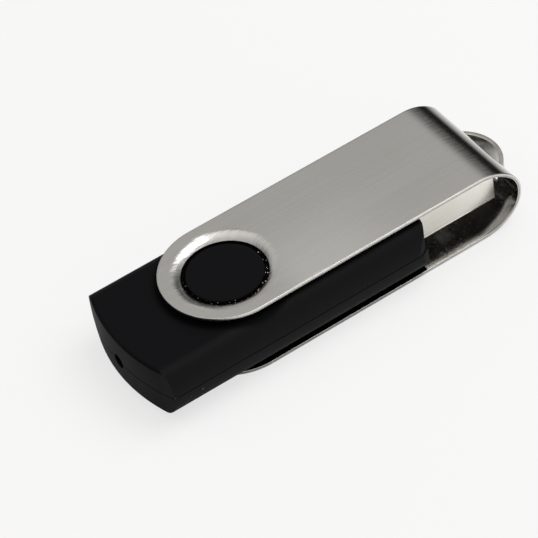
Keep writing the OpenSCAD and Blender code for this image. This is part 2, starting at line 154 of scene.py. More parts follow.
class Shader:
    """A node tree under construction."""

    def __init__(self, tree: bpy.types.NodeTree) -> None:
        """Empties the tree."""
        self.tree = tree
        tree.nodes.clear()

    def node(self, kind: str, settings: dict | None = None, inputs: dict | None = None) -> bpy.types.Node:
        """Adds one node.

        Args:
            kind: the node's type name.
            settings: properties, set first.
            inputs: socket name or index to a value or a Term.

        Returns:
            The new node.
        """
        made = self.tree.nodes.new(kind)
        for name, value in (settings or {}).items():
            setattr(made, name, value)
        for name, value in (inputs or {}).items():
            if isinstance(value, Term):
                self.tree.links.new(value.socket, made.inputs[name])
            else:
                made.inputs[name].default_value = value
        return made

    def math(self, operation: str, *values: float | Term) -> Term:
        """Adds a Math node on one or two values."""
        made = self.node("ShaderNodeMath", {"operation": operation}, dict(enumerate(values)))
        return Term(self, made.outputs[0])

    def point(self) -> Term:
        """Object coordinates, which are the frame's own metres."""
        return Term(self, self.node("ShaderNodeTexCoord").outputs["Object"])

    def axes(self, point: Term) -> tuple[Term, Term, Term]:
        """Splits a vector into its three numbers."""
        made = self.node("ShaderNodeSeparateXYZ", inputs={"Vector": point})
        return tuple(Term(self, made.outputs[i]) for i in range(3))

    def vector(self, x: float | Term, y: float | Term, z: float | Term) -> Term:
        """Joins three numbers into a vector."""
        made = self.node("ShaderNodeCombineXYZ", inputs={"X": x, "Y": y, "Z": z})
        return Term(self, made.outputs["Vector"])

    def scaled(self, point: Term, scale: Triple) -> Term:
        """Stretches a pattern's coordinates."""
        made = self.node("ShaderNodeMapping", inputs={"Vector": point, "Scale": scale})
        return Term(self, made.outputs["Vector"])

    def noise(self, point: Term, scale: float, detail: float = 2.0, rough: float = 0.5) -> Term:
        """Noise about 0.5.

        Args:
            point: where it is read.
            scale: features per metre of the coordinates.
            detail: octaves.
            rough: share of the finer octaves.

        Returns:
            The noise's value.
        """
        made = self.node("ShaderNodeTexNoise", {"noise_dimensions": "3D"},
                         {"Vector": point, "Scale": scale, "Detail": detail, "Roughness": rough})
        return Term(self, made.outputs["Fac"])

    def streaks(self, point: Term, scale: Triple, detail: float = 2.0, rough: float = 0.5) -> Term:
        """Noise drawn out along the axes of its smaller scales.

        Args:
            point: where it is read.
            scale: features per metre along each axis.
            detail: octaves.
            rough: share of the finer octaves.

        Returns:
            The noise's value.
        """
        return self.noise(self.scaled(point, scale), 1.0, detail, rough)

    def cells(self, point: Term, scale: float) -> Term:
        """Distance to the nearest of scattered points, in cells."""
        made = self.node("ShaderNodeTexVoronoi", {"feature": "F1"}, {"Vector": point, "Scale": scale})
        return Term(self, made.outputs["Distance"])

    def blend(self, factor: float | Term, first: Colour | Term, second: Colour | Term) -> Term:
        """Mixes two colours, which are the Mix node's inputs 6 and 7 and its output 2."""
        made = self.node("ShaderNodeMix", {"data_type": "RGBA"}, {0: factor, 6: first, 7: second})
        return Term(self, made.outputs[2])

    def bump(self, height: Term, distance: float, strength: float) -> Term:
        """Turns a height, in shares of a distance, into a normal."""
        made = self.node("ShaderNodeBump",
                         inputs={"Height": height, "Distance": distance, "Strength": strength})
        return Term(self, made.outputs["Normal"])

    def camera_ray(self) -> Term:
        """1 for what the camera sees directly, and 0 in reflections and in scattered light."""
        return Term(self, self.node("ShaderNodeLightPath").outputs["Is Camera Ray"])

    def mixed(self, factor: Term, first: bpy.types.Node, second: bpy.types.Node) -> Term:
        """Mixes two surfaces."""
        made = self.node("ShaderNodeMixShader", inputs={
            0: factor, 1: Term(self, first.outputs[0]), 2: Term(self, second.outputs[0])})
        return Term(self, made.outputs[0])


def rgb(red: float, green: float, blue: float) -> Colour:
    """An opaque linear colour."""
    return (red, green, blue, 1.0)


# The clip's bend ------------------------------------------------------------


@dataclass(frozen=True)
class Bend:
    """The clip's bend from the side: a nose arc between two side arcs that start on the plates.

    Lengths run from the pivot and heights from the clip's middle, on the sheet's outer face.
    """

    start: float = 33.2 * MM
    nose: float = 39.38 * MM
    nose_radius: float = 4.5 * MM
    half_height: float = 5.2 * MM

    @property
    def nose_centre(self) -> float:
        """Place of the nose arc's centre."""
        return self.nose - self.nose_radius

    @property
    def side_radius(self) -> float:
        """Radius of a side arc, tangent to its plate and to the nose arc."""
        run = self.nose_centre - self.start
        return ((run**2 + self.half_height**2 - self.nose_radius**2)
                / (2 * (self.half_height - self.nose_radius)))

    @property
    def tangent(self) -> float:
        """Angle over the middle, at the nose arc's centre, where the arcs meet."""
        return math.atan2(self.side_radius - self.half_height, self.nose_centre - self.start)

    @property
    def meeting(self) -> float:
        """Place where the arcs meet."""
        return self.nose_centre + self.nose_radius * math.cos(self.tangent)

    @property
    def side_length(self) -> float:
        """Length of one side arc."""
        return self.side_radius * (math.pi / 2 - self.tangent)

    @property
    def length(self) -> float:
        """Length of the whole bend."""
        return 2 * self.side_length + 2 * self.tangent * self.nose_radius


# Finishes -------------------------------------------------------------------


class Finish:
    """A named material built on one Principled shader.

    Its colours, scales, depths and limits are fields, and the shares of a sum stand in the
    sum. A cut is the fade between a pattern's two tones.
    """

    name: str

    def build(self) -> bpy.types.Material:
        """Makes the material.

        Returns:
            The finished material.
        """
        made = bpy.data.materials.new(self.name)
        made.use_nodes = True
        shader = Shader(made.node_tree)
        body = shader.node("ShaderNodeBsdfPrincipled", inputs=self.surface(shader))
        shader.node("ShaderNodeOutputMaterial", inputs={"Surface": Term(shader, body.outputs["BSDF"])})
        return made

    def surface(self, shader: Shader) -> dict:
        """Gives the Principled shader's inputs."""
        raise NotImplementedError


@dataclass(frozen=True)
class BrushedSteel(Finish):
    """Stainless sheet brushed along its length, with the marks that bending and pressing leave, and a painted
    sheen.

    Its press depth is in reliefs. Fades along the clip are measured from the pivot.
    """

    name: str = "clip_steel_brushed"
    tint: Colour = rgb(0.585, 0.575, 0.555)
    shade: Colour = rgb(0.545, 0.535, 0.515)
    # painted sheen: a lighter tone standing in for the reflection on the plate near the hub
    painted_sheen: Colour = rgb(0.67, 0.66, 0.64)
    strained: Colour = rgb(0.30, 0.295, 0.28)
    brink: Colour = rgb(0.48, 0.47, 0.455)
    gloss: float = 0.24
    relief: float = 0.010 * MM
    press_depth: float = 11.0
    brush_scale: Triple = (60.0, 9000.0, 60.0)
    streak_scale: Triple = (25.0, 1400.0, 25.0)
    fibre_scale: Triple = (380.0, 4600.0, 380.0)
    press_scale: Triple = (500.0, 2600.0, 500.0)
    dent_scale: float = 330.0
    cloud_scale: float = 90.0
    fibre_cut: Fade = (0.36, 0.66)
    bend_along: Fade = (33.6 * MM, 35.4 * MM)
    strain_start: Fade = (33.6 * MM, 34.9 * MM)
    strain_end: Fade = (36.6 * MM, 35.5 * MM)
    dish_reach: Fade = (7.2 * MM, 6.6 * MM)
    brink_reach: Fade = (8.28 * MM, 8.38 * MM)
    sheen_across: Fade = (5.0 * MM, -7.5 * MM)
    sheen_rear: Fade = (2.0 * MM, 8.0 * MM)
    sheen_front: Fade = (24.0 * MM, 12.0 * MM)

    def surface(self, shader: Shader) -> dict:
        """Brush lines, a pressed dish, a dulled brink and a polished bend with fibres at its start.
        A painted sheen lightens the near side just ahead of the hub.

        The dish lies within a reach of the pivot. The brink is the sheet's edge, measured
        from the middle line and, behind the pivot, from the pivot.

        Args:
            shader: the tree to add to.

        Returns:
            The Principled shader's inputs.
        """
        point = shader.point()
        x, y, _ = shader.axes(point)
        along = x - PIVOT.x
        lines = shader.streaks(point, self.brush_scale, detail=3.0, rough=0.6)
        broad = shader.streaks(point, self.streak_scale)
        clouds = shader.noise(point, self.cloud_scale)
        bend = along.ramp(self.bend_along)
        fibres = shader.streaks(point, self.fibre_scale, rough=0.6).ramp(self.fibre_cut)
        strained = fibres * along.ramp(self.strain_start) * along.ramp(self.strain_end)
        dish = along.hypot(y).ramp(self.dish_reach)
        marks = shader.streaks(point, self.press_scale, rough=0.6) - 0.5
        dents = shader.noise(point, self.dent_scale, detail=1.0) - 0.5
        pressed = self.press_depth * dish * (marks + 3.0 * dents)
        brink = along.at_most(0.0).hypot(y).ramp(self.brink_reach)
        # painted sheen: lighter towards the near edge, just ahead of the hub
        painted_sheen = (y.ramp(self.sheen_across) * along.ramp(self.sheen_front)
                   * along.ramp(self.sheen_rear))
        tone = (0.35 * lines + 0.35 * broad + 0.3 * clouds).ramp(SOFT_MOTTLE)
        steel = shader.blend(painted_sheen, shader.blend(tone, self.shade, self.tint), self.painted_sheen)
        brushed = (0.13 * lines + 0.10 * broad) * (1.0 - 0.7 * bend) + 0.8 * strained
        return {
            "Base Color": shader.blend(brink, shader.blend(strained, steel, self.strained), self.brink),
            "Metallic": 1.0,
            "Roughness": (self.gloss + 0.08 * lines - 0.15 * bend + 0.14 * strained + 0.01 * dish
                          + 0.05 * brink),
            "Normal": shader.bump(brushed * (1.0 - brink) + pressed, self.relief, 0.5),
        }


@dataclass(frozen=True)
class InnerSteel(Finish):
    """The clip's smooth inner face, with the grime that gathers where no finger reaches, and painted shade in the
    top of the bend.
    """

    name: str = "clip_steel_inside"
    tint: Colour = rgb(0.43, 0.425, 0.42)
    grime: Colour = rgb(0.26, 0.25, 0.24)
    # painted shade: near black, for the top inside of the bend
    painted_shade: Colour = rgb(0.10, 0.10, 0.105)
    gloss: float = 0.13
    relief: float = 0.002 * MM
    spot_scale: float = 2600.0
    smear_scale: float = 160.0
    roll_scale: Triple = (60.0, 6000.0, 60.0)
    dirt_cut: Fade = (0.54, 0.64)
    nook_along: Fade = (34.0 * MM, 36.5 * MM)
    nook_up: Fade = (0.8 * MM, 2.6 * MM)

    def surface(self, shader: Shader) -> dict:
        """Uneven grime that dulls the gloss, over fine rolling lines, and painted shade in the bend's top.

        Args:
            shader: the tree to add to.

        Returns:
            The Principled shader's inputs.
        """
        point = shader.point()
        x, _, z = shader.axes(point)
        spots = shader.noise(point, self.spot_scale, detail=3.0, rough=0.6)
        smears = shader.noise(point, self.smear_scale, detail=3.0, rough=0.6)
        lines = shader.streaks(point, self.roll_scale)
        dirt = (0.75 * spots + 0.25 * smears).ramp(self.dirt_cut)
        # painted shade: darker towards the top inside of the bend
        nook = (x - PIVOT.x).ramp(self.nook_along) * (z - PIVOT.z).ramp(self.nook_up)
        return {
            "Base Color": shader.blend(nook, shader.blend(dirt, self.tint, self.grime), self.painted_shade),
            "Metallic": 1.0,
            "Roughness": self.gloss + 0.20 * dirt + 0.04 * lines,
            "Normal": shader.bump(0.5 * lines + 0.5 * spots, self.relief, 0.4),
        }


@dataclass(frozen=True)
class StampedRim(Finish):
    """The stamped edge of the sheet, with a dark line at a fixed depth under the outer face."""

    name: str = "clip_steel_rim"
    tint: Colour = rgb(0.64, 0.63, 0.60)
    shade: Colour = rgb(0.56, 0.55, 0.53)
    rim_dark_line: Colour = rgb(0.18, 0.175, 0.16)
    gloss: float = 0.22
    relief: float = 0.001 * MM
    patch_scale: float = 900.0
    dark_line_start: Fade = (0.27 * MM, 0.30 * MM)
    dark_line_end: Fade = (0.40 * MM, 0.37 * MM)
    bend: Bend = Bend()

    def depth(self, along: Term, height: Term) -> Term:
        """Distance under the sheet's outer face.

        Over a side arc it is the arc's radius less the distance from its centre, and behind
        the arc's start that centre slides back, which gives the plate. Past the place where
        the arcs meet, the nose arc gives it in the same way.

        Args:
            along: distance from the pivot to the nose.
            height: height over the clip's middle.

        Returns:
            The depth, in metres.
        """
        bend = self.bend
        run = (along - bend.start).at_least(0.0)
        rise = height.absolute() - (bend.half_height - bend.side_radius)
        under_side = bend.side_radius - run.hypot(rise)
        under_nose = bend.nose_radius - (along - bend.nose_centre).hypot(height)
        return under_side + along.past(bend.meeting) * (under_nose - under_side)

    def surface(self, shader: Shader) -> dict:
        """Soft patches, and the dark line at a fixed depth under the outer face.

        Args:
            shader: the tree to add to.

        Returns:
            The Principled shader's inputs.
        """
        point = shader.point()
        x, _, z = shader.axes(point)
        depth = self.depth(x - PIVOT.x, z - PIVOT.z)
        patches = shader.noise(point, self.patch_scale, detail=3.0, rough=0.6)
        rim_dark_line = depth.ramp(self.dark_line_start) * depth.ramp(self.dark_line_end)
        steel = shader.blend(patches.ramp(CRISP_MOTTLE), self.shade, self.tint)
        return {
            "Base Color": shader.blend(rim_dark_line, steel, self.rim_dark_line),
            "Metallic": 1.0,
            "Roughness": self.gloss + 0.14 * patches,
            "Normal": shader.bump(patches, self.relief, 0.3),
        }


@dataclass(frozen=True)
class MouldedBlack(Finish):
    """Spark-eroded matte black moulding, with dust, sides painted paler, painted shadow under the clip, painted
    shade in the groove round each hub and painted glints.
    """

    name: str = "case_black_moulded"
    ink: Colour = rgb(0.0034, 0.0035, 0.0044)
    # painted light: a paler tone on the sides, standing in for the light they catch
    painted_flank_light: Colour = rgb(0.0070, 0.0071, 0.0080)
    # painted shade: near black, for the painted shadow under the clip and the painted shade in the groove
    painted_shade: Colour = rgb(0.0006, 0.0006, 0.0006)
    dust: Colour = rgb(0.30, 0.29, 0.27)
    # painted glints: bright specks standing in for glints on the edge of the clip's hole
    painted_glint: Colour = rgb(0.80, 0.79, 0.77)
    gloss: float = 0.46
    specular: float = 0.05
    relief: float = 0.006 * MM
    grain_scale: float = 9000.0
    patch_scale: float = 140.0
    dust_scale: float = 330.0
    dust_size: Fade = (0.032, 0.018)
    dust_shift: float = 2.3 * MM
    flank_across: Fade = (7.6 * MM, 9.4 * MM)
    groove_inner: Fade = (4.98 * MM, 5.08 * MM)
    groove_outer: Fade = (5.70 * MM, 5.55 * MM)
    # painted shadow: a near-black ring under the clip's plate round each hub, reaching a little past its edge
    clip_shadow_share: float = 0.85
    clip_shadow_inner: Fade = (5.70 * MM, 5.90 * MM)
    clip_shadow_outer: Fade = (9.50 * MM, 8.75 * MM)
    glint_scale: float = 2300.0
    glint_size: Fade = (0.24, 0.12)
    glint_inner: Fade = (4.90 * MM, 4.97 * MM)
    glint_outer: Fade = (5.60 * MM, 5.50 * MM)
    glint_height: Fade = (4.55 * MM, 4.30 * MM)
    glint_across: Fade = (2.60 * MM, 1.60 * MM)

    def painted_glints(self, shader: Shader, point: Term, reach: Term) -> Term:
        """Painted glints: bright specks low in the groove round each hub, on the near side.

        Args:
            shader: the tree to add to.
            point: where the specks are read.
            reach: distance from the swivel axis.

        Returns:
            1 on a speck, and 0 elsewhere.
        """
        _, y, z = shader.axes(point)
        gutter = reach.ramp(self.glint_inner) * reach.ramp(self.glint_outer)
        low = (z - PIVOT.z).absolute().ramp(self.glint_height) * y.ramp(self.glint_across)
        return gutter * low * shader.cells(point, self.glint_scale).ramp(self.glint_size)

    def surface(self, shader: Shader) -> dict:
        """Fine grain, sides painted paler, sparse dust, and painted shade, shadow and glints round each hub.

        Args:
            shader: the tree to add to.

        Returns:
            The Principled shader's inputs.
        """
        point = shader.point()
        x, y, z = shader.axes(point)
        grain = shader.noise(point, self.grain_scale, rough=0.6)
        patches = shader.noise(point, self.patch_scale)
        dust = shader.cells(shader.vector(x + self.dust_shift, y, z), self.dust_scale).ramp(self.dust_size)
        # painted light: the sides are painted paler than the top
        flank_light_share = y.absolute().ramp(self.flank_across)
        reach = (x - PIVOT.x).hypot(y)
        # painted shade in the gap between the hub and the edge of the clip's hole
        groove = reach.ramp(self.groove_inner) * reach.ramp(self.groove_outer)
        # painted shadow under the clip's plate round each hub
        painted_lighting = self.clip_shadow_share * reach.ramp(self.clip_shadow_outer) * reach.ramp(self.clip_shadow_inner)
        body = shader.blend(painted_lighting, shader.blend(flank_light_share, self.ink, self.painted_flank_light), self.painted_shade)
        body = shader.blend(groove, body, self.painted_shade)
        # painted glints in the groove
        body = shader.blend(self.painted_glints(shader, point, reach), body, self.painted_glint)
        return {
            "Base Color": shader.blend(dust, body, self.dust),
            "Roughness": self.gloss + 0.10 * patches + 0.05 * grain + 0.35 * groove + 0.25 * painted_lighting,
            "Specular IOR Level": self.specular,
            "Normal": shader.bump(grain, self.relief, 0.5),
        }


@dataclass(frozen=True)
class PlatedSheet(Finish):
    """Smooth nickel-plated sheet with faint drawing lines."""

    name: str = "shield_nickel"
    tint: Colour = rgb(0.71, 0.695, 0.64)
    shade: Colour = rgb(0.63, 0.615, 0.56)
    # painted light: a brighter tone on the tip, lifting the shade under the clip's bend
    painted_lighting: Colour = rgb(0.80, 0.785, 0.73)
    gloss: float = 0.20
    relief: float = 0.003 * MM
    line_scale: Triple = (120.0, 3000.0, 3000.0)
    cloud_scale: float = 240.0
    tip_along: Fade = (27.0 * MM, 35.0 * MM)

    def surface(self, shader: Shader) -> dict:
        """Faint lines along the length, soft clouding, and a tip painted brighter against the shade of the clip's
        bend.

        Args:
            shader: the tree to add to.

        Returns:
            The Principled shader's inputs.
        """
        point = shader.point()
        x, _, _ = shader.axes(point)
        lines = shader.streaks(point, self.line_scale)
        clouds = shader.noise(point, self.cloud_scale)
        plating = shader.blend((0.5 * lines + 0.5 * clouds).ramp(SOFT_MOTTLE), self.shade, self.tint)
        return {
            # painted light brightening the tip
            "Base Color": shader.blend((x - PIVOT.x).ramp(self.tip_along), plating, self.painted_lighting),
            "Metallic": 1.0,
            "Roughness": self.gloss + 0.10 * clouds,
            "Normal": shader.bump(lines, self.relief, 0.4),
        }


@dataclass(frozen=True)
class Grained(Finish):
    """A plain moulded, fired or plated finish with a mottled colour and a fine grain."""

    name: str
    light: Colour
    dark: Colour
    rough: float = 0.45
    metal: float = 0.0
    scale: float = 1500.0
    relief: float = 0.004 * MM

    def surface(self, shader: Shader) -> dict:
        """Two close tones mixed by noise, the same noise in gloss and relief.

        Args:
            shader: the tree to add to.

        Returns:
            The Principled shader's inputs.
        """
        mottle = shader.noise(shader.point(), self.scale, detail=3.0, rough=0.6)
        return {
            "Base Color": shader.blend(mottle.ramp(CRISP_MOTTLE), self.dark, self.light),
            "Metallic": self.metal,
            "Roughness": self.rough - 0.05 + 0.10 * mottle,
            "Normal": shader.bump(mottle, self.relief, 0.5),
        }


@dataclass(frozen=True)
class SolderMask(Finish):
    """Green lacquer over copper tracks."""

    name: str = "board_lacquer"
    lacquer: Colour = rgb(0.012, 0.11, 0.045)
    track: Colour = rgb(0.03, 0.20, 0.08)
    gloss: float = 0.28
    relief: float = 0.02 * MM
    track_scale: Triple = (700.0, 1500.0, 1.0)
    track_cut: Fade = (0.42, 0.46)

    def surface(self, shader: Shader) -> dict:
        """Lighter, slightly raised tracks under the lacquer.

        Args:
            shader: the tree to add to.

        Returns:
            The Principled shader's inputs.
        """
        tracks = shader.cells(shader.scaled(shader.point(), self.track_scale), 1.0).ramp(self.track_cut)
        return {
            "Base Color": shader.blend(tracks, self.lacquer, self.track),
            "Roughness": self.gloss + 0.08 * tracks,
            "Normal": shader.bump(tracks, self.relief, 0.4),
        }


class Slot(Enum):
    """The record's material slots."""

    CASE = "case_plastic"
    CLIP = "clip_steel"
    SHIELD = "shield_steel"
    INSULATOR = "insulator_plastic"
    CONTACT = "contact_gold"
    BOARD = "board"
    CHIP = "chip_epoxy"
    TIN = "tinned_metal"
    CERAMIC = "ceramic"
    LED_WHITE = "led_white"
    LED_CLEAR = "led_clear"


def finishes() -> dict[Slot, bpy.types.Material]:
    """Builds every slot's finish once.

    Returns:
        Each material slot's material.
    """
    plans: dict[Slot, Finish] = {
        Slot.CASE: MouldedBlack(),
        Slot.CLIP: BrushedSteel(),
        Slot.SHIELD: PlatedSheet(),
        Slot.INSULATOR: Grained("insulator_white", rgb(0.80, 0.80, 0.77), rgb(0.77, 0.77, 0.74), rough=0.5),
        Slot.CONTACT: Grained("contact_gold", rgb(0.86, 0.62, 0.24), rgb(0.74, 0.52, 0.19),
                              rough=0.28, metal=1.0),
        Slot.BOARD: SolderMask(),
        Slot.CHIP: Grained("chip_epoxy", rgb(0.035, 0.035, 0.037), rgb(0.022, 0.022, 0.024),
                           rough=0.6, scale=9000.0),
        Slot.TIN: Grained("tinned_metal", rgb(0.74, 0.74, 0.76), rgb(0.60, 0.60, 0.62),
                          rough=0.35, metal=1.0),
        Slot.CERAMIC: Grained("fired_ceramic", rgb(0.58, 0.44, 0.30), rgb(0.46, 0.34, 0.22), rough=0.5),
        Slot.LED_WHITE: Grained("light_housing", rgb(0.82, 0.82, 0.78), rgb(0.72, 0.72, 0.68), rough=0.5),
        Slot.LED_CLEAR: Grained("light_lens", rgb(0.62, 0.68, 0.72), rgb(0.52, 0.58, 0.62), rough=0.15),
    }
    return {slot: plan.build() for slot, plan in plans.items()}


# Meshes ---------------------------------------------------------------------


def grid_quads(rows: int, columns: int, closed: bool = False) -> Array:
    """Lists the quads of a grid of points stored row after row.

    Args:
        rows: number of rows.
        columns: number of points in a row.
        closed: whether the last column joins the first.

    Returns:
        An integer array of four corners a face, turning from a row's direction
        of growth towards its columns'.
    """
    index = np.arange(rows * columns).reshape(rows, columns)
    if closed:
        index = np.concatenate([index, index[:, :1]], axis=1)
    return np.stack([index[:-1, :-1], index[1:, :-1], index[1:, 1:], index[:-1, 1:]], -1).reshape(-1, 4)


def spread(stops: list[float], steps: list[int]) -> Array:
    """Places in even steps between stops, with each stop once.

    Args:
        stops: the stops, in rising order.
        steps: the number of steps in each gap.

    Returns:
        The places.
    """
    gaps = zip(stops, stops[1:], steps)
    return np.concatenate([np.linspace(low, high, count, endpoint=False) for low, high, count in gaps]
                          + [stops[-1:]])


def mesh_object(name: str, points: Array, quads: Array, material: bpy.types.Material,
                merge: float = 0.0) -> bpy.types.Object:
    """Makes a smooth-shaded object from points and faces.

    Args:
        name: the piece's name.
        points: an array of places, in metres in the frame.
        quads: an array of faces.
        material: its finish.
        merge: distance under which points are joined, or 0.

    Returns:
        The object, linked and at the origin.
    """
    mesh = bpy.data.meshes.new(name)
    mesh.from_pydata(points.tolist(), [], quads.tolist())
    if merge:
        work = bmesh.new()
        work.from_mesh(mesh)
        bmesh.ops.remove_doubles(work, verts=work.verts, dist=merge)
        work.to_mesh(mesh)
        work.free()
    mesh.polygons.foreach_set("use_smooth", np.ones(len(mesh.polygons), dtype=bool))
    mesh.materials.append(material)
    mesh.update()
    made = bpy.data.objects.new(name, mesh)
    bpy.context.scene.collection.objects.link(made)
    return made


def outward(piece: bpy.types.Object) -> None:
    """Turns a closed piece's faces outwards.

    Args:
        piece: the object.
    """
    work = bmesh.new()
    work.from_mesh(piece.data)
    bmesh.ops.recalc_face_normals(work, faces=work.faces)
    work.to_mesh(piece.data)
    work.free()


def rounded(piece: bpy.types.Object, width: float, segments: int = 3, sharp: float = 50.0) -> None:
    """Rounds a piece's sharp edges.

    Args:
        piece: the object.
        width: the rounding's width, in metres.
        segments: faces across it.
        sharp: edges that turn more than this, in degrees, are rounded.
    """
    bevel = piece.modifiers.new("edge_round", "BEVEL")
    bevel.width = width
    bevel.segments = segments
    bevel.limit_method = "ANGLE"
    bevel.angle_limit = math.radians(sharp)
    bevel.use_clamp_overlap = False
    bevel.harden_normals = False


@dataclass
class SwivelClip:
    """The bent sheet clip: a flat pattern with two dished holes, folded round the nose.

    The pattern's u runs along the upper plate from the pivot, round the bend, and back
    along the lower plate to the lower pivot, on the sheet's outer face.
    """

    outside: bpy.types.Material
    inside: bpy.types.Material
    rim: bpy.types.Material
    lanced: bpy.types.Material
    bend: Bend = Bend()
    half_width: float = 8.5 * MM
    sheet: float = 0.5 * MM
    hole_radius: float = 5.55 * MM
    dish_radius: float = 7.0 * MM
    dish_depth: float = 0.75 * MM
    block_end: float = 9.6 * MM
    window_half_width: float = 4.1 * MM
    window_half_height: float = 1.35 * MM
    loop_radius: float = 5.8 * MM
    loop_centre: float = 35.77 * MM
    loop_sheet: float = 0.6 * MM
    loop_height: float = 2.5 * MM
    loop_drop: float = 0.4 * MM
    sheet_rounding: float = 0.08 * MM
    loop_rounding: float = 0.09 * MM
    merge: float = 0.001 * MM
    last_circle: float = 7.15 * MM
    circles: int = 20
    easing_rings: int = 7
    end_steps: int = 96
    edge_steps: int = 13
    side_steps: int = 13
    window_steps_across: int = 24
    window_steps_along: int = 16
    plate_steps: int = 12
    arc_steps: int = 48
    loop_steps: int = 60

    @property
    def strip_length(self) -> float:
        """Distance along the pattern between the two pivots."""
        return 2 * self.bend.start + self.bend.length

    def folded(self, u: Array, y: Array) -> Array:
        """Folds the flat pattern round the nose.

        Each half of the pattern keeps flat to the bend's start, then turns round its side
        arc and half of the nose arc. A dish sinks in towards its hole with the square of
        the way in, so it is level at its rim and steepest at the hole.

        Args:
            u: distance along the pattern from the upper pivot.
            y: distance across it.

        Returns:
            Points in the frame.
        """
        bend = self.bend
        s = u - bend.start
        back = bend.length - s
        near = np.minimum(s, back)
        sign = np.where(s <= back, 1.0, -1.0)
        on_side = np.clip(near, 0.0, bend.side_length)
        on_nose = np.maximum(near - bend.side_length, 0.0)
        turn = math.pi / 2 - on_side / bend.side_radius - on_nose / bend.nose_radius
        nose = near > bend.side_length
        radius = np.where(nose, bend.nose_radius, bend.side_radius)
        centre_x = np.where(nose, bend.nose_centre, bend.start)
        centre_z = np.where(nose, 0.0, bend.half_height - bend.side_radius)
        x = centre_x + radius * np.cos(turn) + np.minimum(near, 0.0)
        z = sign * (centre_z + radius * np.sin(turn))
        reach = np.hypot(np.where(sign > 0, u, self.strip_length - u), y)
        way_in = np.clip((self.dish_radius - reach) / (self.dish_radius - self.hole_radius), 0, 1)
        return np.stack([x, y, z - sign * self.dish_depth * way_in**2], -1) + np.array(PIVOT)

    def window(self) -> tuple[float, float]:
        """Places along the pattern of the upper and lower edges of the loop's window.

        Returns:
            The two places, each where the nose arc is as high as the edge.
        """
        middle = self.strip_length / 2
        heights = np.array([1.0, -1.0]) * self.window_half_height - self.loop_drop
        upper, lower = middle - self.bend.nose_radius * np.arcsin(heights / self.bend.nose_radius)
        return float(upper), float(lower)

    def across(self) -> Array:
        """Sample places across the pattern, with two on the window's ends."""
        return spread([-self.half_width, -self.window_half_width, self.window_half_width, self.half_width],
                      [self.side_steps, self.window_steps_across, self.side_steps])

    def along(self) -> Array:
        """Sample places along the strip between the pivot blocks, with two on the window's edges."""
        bend_end = self.strip_length - self.bend.start
        return spread([self.block_end, self.bend.start, *self.window(), bend_end,
                       self.strip_length - self.block_end],
                      [self.plate_steps, self.arc_steps, self.window_steps_along, self.arc_steps,
                       self.plate_steps])

    def cut_away(self, along: Array, across: Array) -> Array:
        """Marks the strip's faces that lie in the window.

        Args:
            along: the strip's sample places along the pattern.
            across: its sample places across.

        Returns:
            One truth value a face, by the face's middle.
        """
        upper, lower = self.window()
        middle_u = (along[:-1] + along[1:]) / 2
        middle_y = (across[:-1] + across[1:]) / 2
        in_rows = (middle_u > upper) & (middle_u < lower)
        return (in_rows[:, None] & (np.abs(middle_y) < self.window_half_width)[None, :]).reshape(-1)

    def block(self) -> Array:
        """Points round one hole, from the hole's edge to the round end and the block's straight end.

        Each spoke runs from the hole to a point of the block's outline. The rings are
        circles over the dish, and ease into the outline beyond it.

        Returns:
            An array of rings, spokes and the pattern's two coordinates.
        """
        across = self.across()
        edge = np.linspace(0.0, self.block_end, self.edge_steps, endpoint=False)
        turn = np.linspace(math.pi / 2, 3 * math.pi / 2, self.end_steps, endpoint=False)
        outline = np.concatenate([
            self.half_width * np.stack([np.cos(turn), np.sin(turn)], -1),
            np.stack([edge, np.full_like(edge, -self.half_width)], -1),
            np.stack([np.full_like(across, self.block_end), across], -1),
            np.stack([edge[::-1], np.full_like(edge, self.half_width)], -1)[:-1],
        ])
        reach = np.hypot(outline[:, 0], outline[:, 1])
        circles = np.linspace(self.hole_radius, self.last_circle, self.circles)
        share = np.linspace(0.0, 1.0, self.easing_rings + 1)[1:, None]
        rings = np.concatenate([
            np.repeat(circles[:, None], len(reach), 1),
            self.last_circle + share * (reach[None, :] - self.last_circle),
        ])
        return rings[..., None] * (outline / reach[:, None])[None]

    def build_sheet(self) -> bpy.types.Object:
        """Makes the folded strip with its holes and window, as an outer face with a wall inside it.

        Returns:
            The sheet as one object.
        """
        block = self.block()
        along, across = self.along(), self.across()
        areas = [
            self.folded(block[..., 0], block[..., 1]),
            self.folded(self.strip_length - block[..., 0], -block[..., 1]),
            self.folded(*np.meshgrid(along, across, indexing="ij")),
        ]
        rings, spokes = block.shape[:2]
        corners = rings * spokes
        block_quads = grid_quads(rings, spokes, closed=True)
        strip_quads = grid_quads(len(along), len(across))[~self.cut_away(along, across)]
        points = np.concatenate([area.reshape(-1, 3) for area in areas])
        quads = np.concatenate([block_quads, block_quads + corners, strip_quads + 2 * corners])
        made = mesh_object("clip_sheet", points, quads, self.outside, self.merge)
        made.data.materials.append(self.inside)
        made.data.materials.append(self.rim)
        wall = made.modifiers.new("sheet_thickness", "SOLIDIFY")
        wall.thickness = self.sheet
        wall.offset = -1.0
        wall.use_even_offset = True
        wall.material_offset = 1
        wall.material_offset_rim = 2
        rounded(made, self.sheet_rounding)
        return made

